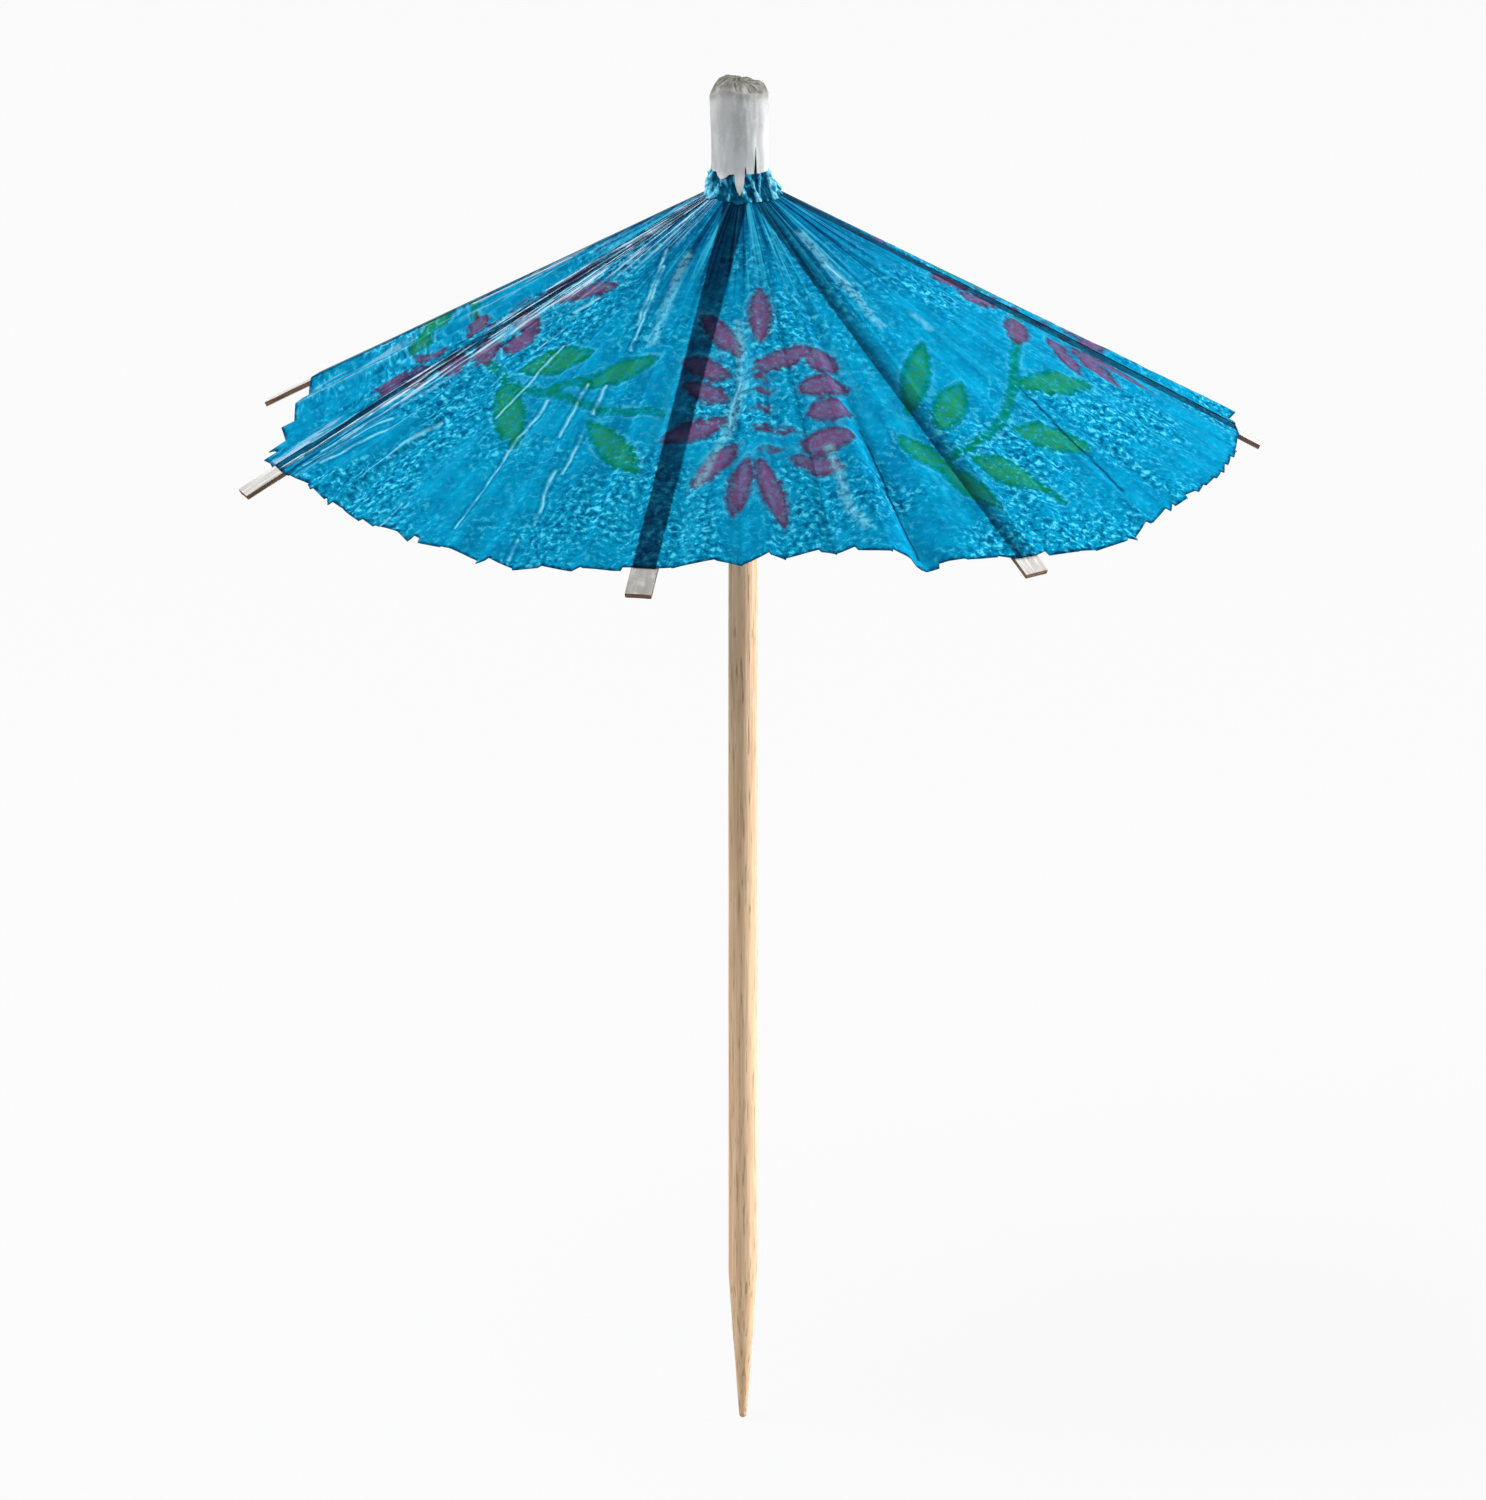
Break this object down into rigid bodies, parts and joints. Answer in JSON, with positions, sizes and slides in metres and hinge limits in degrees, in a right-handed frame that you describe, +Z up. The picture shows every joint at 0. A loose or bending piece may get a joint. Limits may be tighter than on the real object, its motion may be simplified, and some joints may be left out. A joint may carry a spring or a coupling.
{
  "type": "cocktail umbrella pick",
  "caption": "Small folding paper parasol on a sharpened wooden stick, with card ribs, stretchers and a sliding runner, pushed into a drink garnish.",
  "frame": {"origin": "on the stick's axis where the sharpened point ends and the full-radius shank begins", "axes": "+Z up along the stick towards the finial, -Y towards the front of the pictured view"},
  "size_m": [0.0734, 0.0732, 0.1],
  "materials": {
    "stick": "bare birch, fine lengthwise grain",
    "canopy_paper": "thin dyed tissue, printed, matt",
    "white_paper": "white rolled paper, matt",
    "rolled_paper": "rolled newsprint, matt",
    "card": "white-faced card with brown cut edges",
    "ring": "pink elastic, satin"
  },
  "bodies": {
    "root": {"pick_stick": "stick", "crown_core": "rolled_paper", "rib_band": "card", "canopy_collar": "canopy_paper", "finial_wrap": "white_paper"},
    "runner": {"runner_core": "rolled_paper", "stretcher_band": "card", "runner_wrap": "white_paper"},
    "ring": {"stop_ring": "ring"},
    "rib_1": {"rib_1": "card", "stretcher_tab_1": "card", "canopy_panel_1": "canopy_paper"},
    "stretcher_1": {"stretcher_1": "card"},
    "rib_2": {"rib_2": "card", "stretcher_tab_2": "card", "canopy_panel_2": "canopy_paper"},
    "stretcher_2": {"stretcher_2": "card"},
    "rib_3": {"rib_3": "card", "stretcher_tab_3": "card", "canopy_panel_3": "canopy_paper"},
    "stretcher_3": {"stretcher_3": "card"},
    "rib_4": {"rib_4": "card", "stretcher_tab_4": "card", "canopy_panel_4": "canopy_paper"},
    "stretcher_4": {"stretcher_4": "card"},
    "rib_5": {"rib_5": "card", "stretcher_tab_5": "card", "canopy_panel_5": "canopy_paper"},
    "stretcher_5": {"stretcher_5": "card"},
    "rib_6": {"rib_6": "card", "stretcher_tab_6": "card", "canopy_panel_6": "canopy_paper"},
    "stretcher_6": {"stretcher_6": "card"},
    "rib_7": {"rib_7": "card", "stretcher_tab_7": "card", "canopy_panel_7": "canopy_paper"},
    "stretcher_7": {"stretcher_7": "card"},
    "rib_8": {"rib_8": "card", "stretcher_tab_8": "card", "canopy_panel_8": "canopy_paper"},
    "stretcher_8": {"stretcher_8": "card"}
  },
  "joints": [
    {"name": "rib_1_fold", "type": "hinge", "parent": "root", "child": "rib_1", "pos_m": [-0.00044, -0.00216, 0.08], "axis": [0.9799, -0.1994, 0], "range_deg": [0, 57], "deforming": ["canopy_panel_1"]},
    {"name": "stretcher_1_fold", "type": "hinge", "parent": "rib_1", "child": "stretcher_1", "pos_m": [-0.00336, -0.01651, 0.07136], "axis": [0.9799, -0.1994, 0], "range_deg": [-114, 0]},
    {"name": "rib_2_fold", "type": "hinge", "parent": "root", "child": "rib_2", "pos_m": [0.00123, -0.00182, 0.08], "axis": [0.829, 0.5592, 0], "range_deg": [0, 57], "deforming": ["canopy_panel_2"]},
    {"name": "stretcher_2_fold", "type": "hinge", "parent": "rib_2", "child": "stretcher_2", "pos_m": [0.00942, -0.01397, 0.07136], "axis": [0.829, 0.5592, 0], "range_deg": [-114, 0]},
    {"name": "rib_3_fold", "type": "hinge", "parent": "root", "child": "rib_3", "pos_m": [0.00219, 0.00019, 0.08], "axis": [-0.0872, 0.9962, 0], "range_deg": [0, 57], "deforming": ["canopy_panel_3"]},
    {"name": "stretcher_3_fold", "type": "hinge", "parent": "rib_3", "child": "stretcher_3", "pos_m": [0.01679, 0.00147, 0.07136], "axis": [-0.0872, 0.9962, 0], "range_deg": [-114, 0]},
    {"name": "rib_4_fold", "type": "hinge", "parent": "root", "child": "rib_4", "pos_m": [0.00161, 0.0015, 0.08], "axis": [-0.682, 0.7314, 0], "range_deg": [0, 57], "deforming": ["canopy_panel_4"]},
    {"name": "stretcher_4_fold", "type": "hinge", "parent": "rib_4", "child": "stretcher_4", "pos_m": [0.01232, 0.01149, 0.07136], "axis": [-0.682, 0.7314, 0], "range_deg": [-114, 0]},
    {"name": "rib_5_fold", "type": "hinge", "parent": "root", "child": "rib_5", "pos_m": [0.00034, 0.00217, 0.08], "axis": [-0.9877, 0.1564, 0], "range_deg": [0, 57], "deforming": ["canopy_panel_5"]},
    {"name": "stretcher_5_fold", "type": "hinge", "parent": "rib_5", "child": "stretcher_5", "pos_m": [0.00264, 0.01664, 0.07136], "axis": [-0.9877, 0.1564, 0], "range_deg": [-114, 0]},
    {"name": "rib_6_fold", "type": "hinge", "parent": "root", "child": "rib_6", "pos_m": [-0.00107, 0.00192, 0.08], "axis": [-0.8746, -0.4848, 0], "range_deg": [0, 57], "deforming": ["canopy_panel_6"]},
    {"name": "stretcher_6_fold", "type": "hinge", "parent": "rib_6", "child": "stretcher_6", "pos_m": [-0.00817, 0.01474, 0.07136], "axis": [-0.8746, -0.4848, 0], "range_deg": [-114, 0]},
    {"name": "rib_7_fold", "type": "hinge", "parent": "root", "child": "rib_7", "pos_m": [-0.00203, 0.00086, 0.08], "axis": [-0.3907, -0.9205, 0], "range_deg": [0, 57], "deforming": ["canopy_panel_7"]},
    {"name": "stretcher_7_fold", "type": "hinge", "parent": "rib_7", "child": "stretcher_7", "pos_m": [-0.01551, 0.00658, 0.07136], "axis": [-0.3907, -0.9205, 0], "range_deg": [-114, 0]},
    {"name": "rib_8_fold", "type": "hinge", "parent": "root", "child": "rib_8", "pos_m": [-0.00211, -0.00061, 0.08], "axis": [0.2756, -0.9613, 0], "range_deg": [0, 57], "deforming": ["canopy_panel_8"]},
    {"name": "stretcher_8_fold", "type": "hinge", "parent": "rib_8", "child": "stretcher_8", "pos_m": [-0.0162, -0.00464, 0.07136], "axis": [0.2756, -0.9613, 0], "range_deg": [-114, 0]},
    {"name": "runner_slide", "type": "slide", "parent": "root", "child": "runner", "axis": [0, 0, -1], "range_m": [0, 0.01671]},
    {"name": "ring_slide", "type": "slide", "parent": "runner", "child": "ring", "axis": [0, 0, -1], "range_m": [0, 0.033]}
  ],
  "couplings": [
    {"joint": "stretcher_1_fold", "follows": "rib_1_fold", "ratio": -2},
    {"joint": "rib_2_fold", "follows": "rib_1_fold", "ratio": 1},
    {"joint": "stretcher_2_fold", "follows": "rib_1_fold", "ratio": -2},
    {"joint": "rib_3_fold", "follows": "rib_1_fold", "ratio": 1},
    {"joint": "stretcher_3_fold", "follows": "rib_1_fold", "ratio": -2},
    {"joint": "rib_4_fold", "follows": "rib_1_fold", "ratio": 1},
    {"joint": "stretcher_4_fold", "follows": "rib_1_fold", "ratio": -2},
    {"joint": "rib_5_fold", "follows": "rib_1_fold", "ratio": 1},
    {"joint": "stretcher_5_fold", "follows": "rib_1_fold", "ratio": -2},
    {"joint": "rib_6_fold", "follows": "rib_1_fold", "ratio": 1},
    {"joint": "stretcher_6_fold", "follows": "rib_1_fold", "ratio": -2},
    {"joint": "rib_7_fold", "follows": "rib_1_fold", "ratio": 1},
    {"joint": "stretcher_7_fold", "follows": "rib_1_fold", "ratio": -2},
    {"joint": "rib_8_fold", "follows": "rib_1_fold", "ratio": 1},
    {"joint": "stretcher_8_fold", "follows": "rib_1_fold", "ratio": -2},
    {"joint": "runner_slide", "follows": "rib_1_fold", "m_per_rad": 0.016796}
  ]
}
